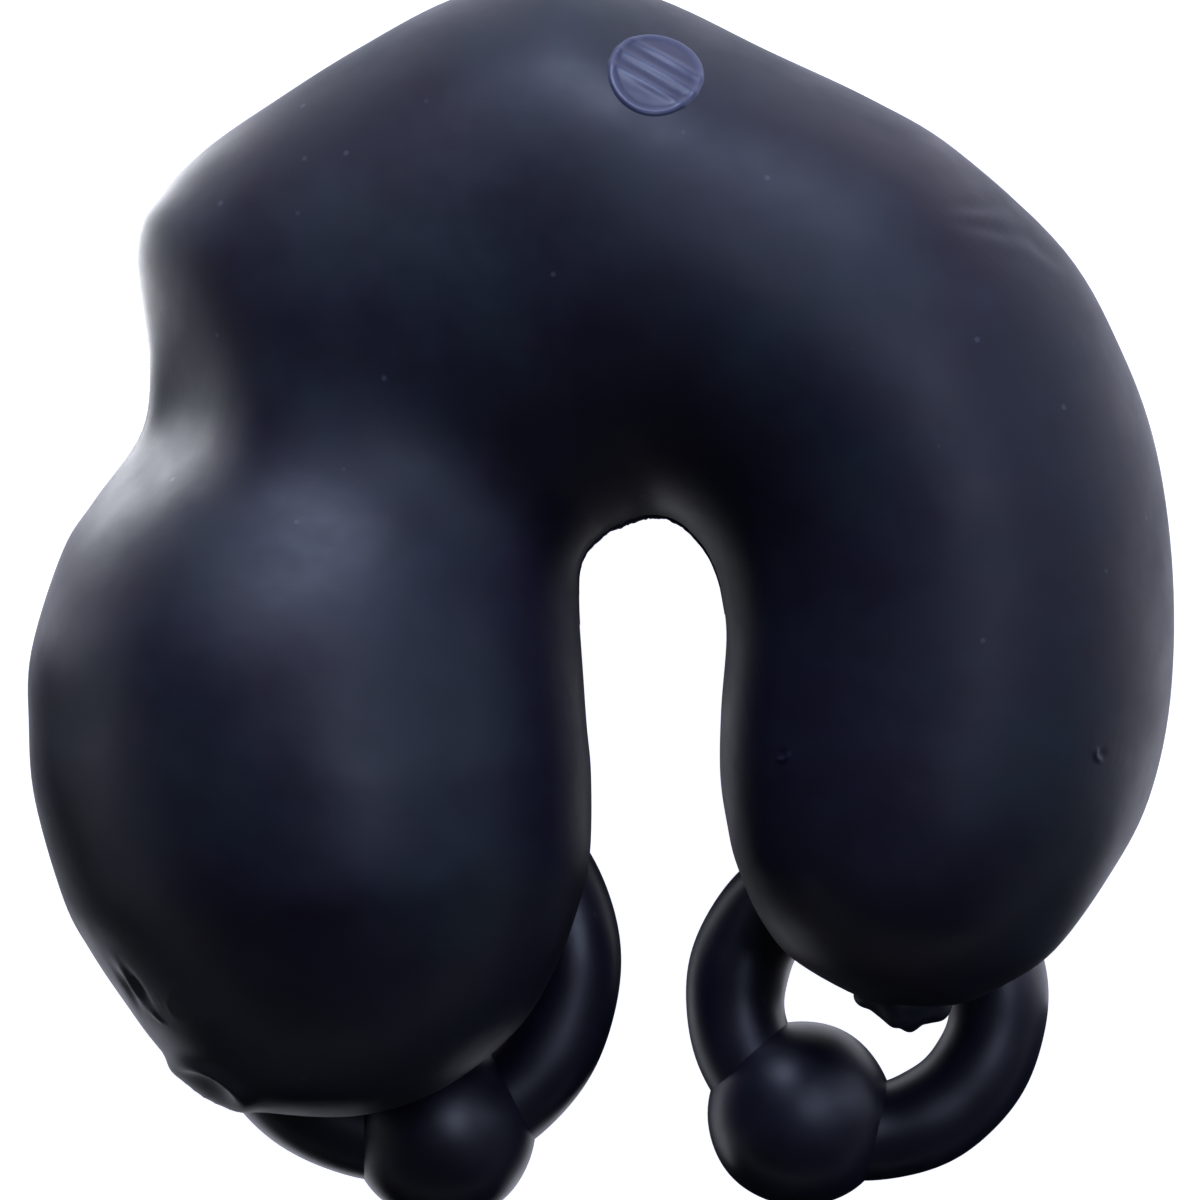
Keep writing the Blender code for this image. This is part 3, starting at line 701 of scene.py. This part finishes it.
def make_grip_pad(surface):
    """The raised grip pad, following the body's surface."""
    size = GRIP_STEPS
    outward = Vector((0, math.sin(GRIP_TILT), math.cos(GRIP_TILT)))
    uphill = Vector((0, math.cos(GRIP_TILT), -math.sin(GRIP_TILT)))
    points = []
    pale = []
    for i in range(size):
        for j in range(size):
            u = GRIP_REACH * (2 * i / (size - 1) - 1)
            v = GRIP_REACH * (2 * j / (size - 1) - 1)
            right = u * math.cos(GRIP_TURN) - v * math.sin(GRIP_TURN)
            up = u * math.sin(GRIP_TURN) + v * math.cos(GRIP_TURN)
            place = GRIP_MIDDLE + Vector((right, 0, 0)) + uphill * up
            hit, normal, _, _ = surface.ray_cast(place + outward * 20 * MM, -outward)
            height, painted_edge_highlight = pad_profile(u, v)
            points.append(hit + normal * height)
            pale.append(painted_edge_highlight)
    faces = [
        (i * size + j, (i + 1) * size + j, (i + 1) * size + j + 1, i * size + j + 1)
        for i in range(size - 1)
        for j in range(size - 1)
    ]
    pad = add_piece("ribbed_grip_pad", points, faces, PAD_SILICONE, "ring_silicone")
    # Stores the painted highlight on the rim and ribs for the pad's material.
    pad.data.attributes.new("painted_edge_highlight", "FLOAT", "POINT").data.foreach_set("value", pale)
    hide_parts("grip_pad")
    return pad


def swept_tube(name, path, radii, material, slot, sides):
    """A closed tube along a path of points, with one radius at each."""
    points = []
    for k, spot in enumerate(path):
        direction = path[min(k + 1, len(path) - 1)] - path[max(k - 1, 0)]
        direction /= np.linalg.norm(direction)
        across = np.cross(direction, (0, 0, 1))
        across /= np.linalg.norm(across)
        up = np.cross(across, direction)
        for turn in 2 * np.pi * np.arange(sides) / sides:
            points.append(spot + radii[k] * (across * math.cos(turn) + up * math.sin(turn)))
    return add_piece(name, points, closed_tube_faces(len(path), sides), material, slot)


def make_mould_line():
    """The thin ragged flash under the arch, where the two halves of the mould met."""
    inner = body_rows()[:, 2:4]
    inner = inner[np.linalg.norm(inner - np.array(FLASH_MIDDLE.xy), axis=1) < FLASH_REACH]
    draws = np.random.default_rng(FLASH_SEED).random(len(inner) + FLASH_WINDOW - 1)
    ragged = np.convolve(draws, np.ones(FLASH_WINDOW) / FLASH_WINDOW, mode="valid")
    fade = np.sin(np.linspace(0, math.pi, len(inner)))
    radii = (FLASH_RADIUS + FLASH_RAGGEDNESS * ragged * fade) * MM
    path = np.column_stack((inner, np.full(len(inner), PARTING_Z)))
    return swept_tube("mould_line", path, radii, BODY_SILICONE, "silicone", sides=8)


def make_spring():
    """The spring rod over the arch, made as one fixed tube; in the massager it bends with the arch."""
    rows = [np.array(at(x, y, PARTING_Z / MM)) for x, y in SPRING_PATH]
    rows = [2 * rows[0] - rows[1], *rows, 2 * rows[-1] - rows[-2]]
    path = smooth_rows(rows, SPRING_STEPS)
    radii = [SPRING_RADIUS] * len(path)
    spring = swept_tube("bent_spring", path, radii, SPRING_METAL, "spring_steel", sides=20)
    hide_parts("arch_spring")
    return spring


def make_tip_nub():
    """The rough lump left at the end of the arm, where it was trimmed off the mould."""
    width, height, depth = NUB_HALF_SIZE
    bm = bmesh.new()
    bmesh.ops.create_icosphere(bm, subdivisions=5, radius=1.0)
    for vert in bm.verts:
        x, y, z = vert.co
        rough = 0.03 * math.sin(6 * x + 2 * z + 1) + 0.02 * math.sin(11 * x - 3 * z)
        droop = NUB_DROOP * smooth_step(x, -0.75, -0.15) if y < 0 else 0.0
        boxiness = NUB_BOXINESS * smooth_step(x, -0.8, 0)
        y = math.copysign(abs(y) ** (1 - boxiness), y)
        vert.co = Vector((width * x, (height + droop) * y * (1 + 2 * rough), depth * z))
        vert.co = vert.co * (1 + 0.5 * rough) * MM + NUB
    nub = add_piece("arm_tip_nub", *mesh_data(bm), BODY_SILICONE, "nylon")
    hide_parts("arm_tip_plug")
    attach(nub, "arm_side")


# ---------------------------------------------------------------- rings and beads


def ring_joint(side):
    """The joint that the ring of this side turns on."""
    return next(joint for joint in frame["joints"] if joint["name"] == f"{side}_ring_turn")


def ring_layout(side):
    """Centre, mean radius and the bead's centre and direction, as the CAD has them."""
    centre = Vector(ring_joint(side)["pos_m"])
    low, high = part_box(f"{side}_bead")
    bead = (Vector(low) + Vector(high)) / 2
    bead.z = centre.z
    arm = bead - centre
    return centre, arm.length, bead, math.atan2(arm.y, arm.x)


def make_ring(side):
    """A soft ring, open where its bead closes it, slightly uneven and with a fine parting ridge."""
    centre, major, _, bead_angle = ring_layout(side)
    inset = math.asin(BEAD_OVERLAP * BEAD_RADIUS / major)
    along = np.linspace(bead_angle + inset, bead_angle + 2 * math.pi - inset, RING_STEPS)
    around = 2 * np.pi * np.arange(TUBE_SIDES) / TUBE_SIDES
    points = []
    for angle in along:
        out = np.array((math.cos(angle), math.sin(angle), 0))
        uneven = 0.012 * math.sin(5 * angle) + 0.008 * math.sin(11 * angle + 1)
        for turn in around:
            ridge = RING_RIDGE * smooth_bump(math.sin(turn), 0.05)
            reach = TUBE_RADIUS * (1 + uneven) + ridge
            spot = np.array(centre) + out * (major + reach * math.cos(turn))
            points.append(spot + np.array((0, 0, reach * math.sin(turn))))
    faces = closed_tube_faces(RING_STEPS, TUBE_SIDES)
    ring = add_piece(f"{side}_ring_skin", points, faces, PULL_SILICONE, "ring_silicone")
    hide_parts(f"{side}_ring")
    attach(ring, f"{side}_pull")


def make_bead(side):
    """The ball that closes a ring, slightly lumpy and with a fine parting ridge."""
    _, _, bead, _ = ring_layout(side)
    bm = bmesh.new()
    bmesh.ops.create_uvsphere(bm, u_segments=96, v_segments=64, radius=BEAD_RADIUS)
    for vert in bm.verts:
        direction = vert.co.normalized()
        lump = BEAD_LUMP * math.sin(5 * direction.x + 2) * math.sin(4 * direction.y + 1)
        ridge = BEAD_RIDGE * smooth_bump(direction.z, 0.03)
        vert.co = bead + direction * (BEAD_RADIUS + lump + ridge)
    skin = add_piece(f"{side}_bead_skin", *mesh_data(bm), PULL_SILICONE, "ring_silicone")
    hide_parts(f"{side}_bead")
    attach(skin, f"{side}_pull")


# ---------------------------------------------------------------- camera, table and lights


def make_camera():
    """Looks straight down on the massager, which lies on its back."""
    data = bpy.data.cameras.new("camera")
    data.sensor_width = SENSOR
    data.lens = SENSOR * CAMERA_DISTANCE / VIEW_WIDTH
    data.clip_start = 0.05
    camera = bpy.data.objects.new("camera", data)
    camera.location = at(*VIEW_MIDDLE, PARTING_Z / MM) + Vector((0, 0, CAMERA_DISTANCE))
    bpy.context.scene.collection.objects.link(camera)
    bpy.context.scene.camera = camera


def set_glow(shader, colour, strength):
    """Makes a surface give off light of its own."""
    shader.inputs["Emission Color"].default_value = (*colour, 1.0)
    shader.inputs["Emission Strength"].default_value = strength


def make_table():
    """A pale table that glows a little, so that it shows white and lights the object's rims."""
    material, tree, shader = new_material("pale_table")
    place = add_node(tree, "ShaderNodeTexCoord").outputs["Object"]
    tone = noise_node(tree, place, scale=9)
    colour = ramp_node(tree, tone, ((0.3, (0.30, 0.30, 0.31)), (0.7, (0.33, 0.33, 0.33))))
    tree.links.new(colour, shader.inputs["Base Color"])
    shader.inputs["Roughness"].default_value = 0.8
    set_glow(shader, (0.98, 0.99, 1.12), 1.02)
    bpy.ops.mesh.primitive_plane_add(size=TABLE_SIZE)
    table = bpy.context.object
    table.name = "table"
    table.data.materials.append(material)


def make_card(name, sides, material):
    """A card lying on the table that the camera does not see, only the object's reflections."""
    left, bottom, right, top = sides
    middle = at((left + right) / 2, (bottom + top) / 2, CARD_HEIGHT)
    bpy.ops.mesh.primitive_plane_add(size=1, location=middle)
    card = bpy.context.object
    card.name = name
    card.scale = ((right - left) * MM, (top - bottom) * MM, 1)
    card.data.materials.append(material)
    card.visible_camera = False


def make_cards():
    """Black cards keep the table's glow off the dark sides, and a bright one lights the waist."""
    black, _, shader = new_material("black_card")
    shader.inputs["Base Color"].default_value = (0.005, 0.005, 0.006, 1.0)
    shader.inputs["Roughness"].default_value = 0.9
    for name, sides in DARK_CARDS.items():
        make_card(name, sides, black)
    bright, _, shader = new_material("bright_card")
    set_glow(shader, (0.95, 0.97, 1.0), 9.0)
    make_card("card_beside_the_waist", BRIGHT_CARD, bright)


def make_lamp(name, position, size, power):
    """A rectangular lamp that points at the middle of the massager."""
    data = bpy.data.lights.new(name, "AREA")
    data.shape = "RECTANGLE"
    data.size, data.size_y = size
    data.energy = power
    data.color = LAMP_COLOUR
    lamp = bpy.data.objects.new(name, data)
    lamp.location = position
    lamp.rotation_mode = "QUATERNION"
    lamp.rotation_quaternion = (Vector((0, 0, PARTING_Z)) - lamp.location).to_track_quat("-Z", "Y")
    bpy.context.scene.collection.objects.link(lamp)


def make_world():
    """A faint even light from all round."""
    world = bpy.data.worlds.new("studio")
    world.use_nodes = True
    background = world.node_tree.nodes["Background"]
    background.inputs["Color"].default_value = (0.9, 0.95, 1.0, 1.0)
    background.inputs["Strength"].default_value = 0.03
    bpy.context.scene.world = world


# ---------------------------------------------------------------- everything together

finish_inner_pieces()
body = make_body()
for piece in (body, make_grip_pad(surface_of(body)), make_mould_line(), make_spring()):
    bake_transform(piece)
make_tip_nub()
for side in SIDES:
    make_ring(side)
    make_bead(side)

make_camera()
make_table()
make_world()
make_cards()
for name, (position, size, power) in LAMPS.items():
    make_lamp(name, position, size, power)
bpy.context.scene.view_settings.view_transform = "Standard"
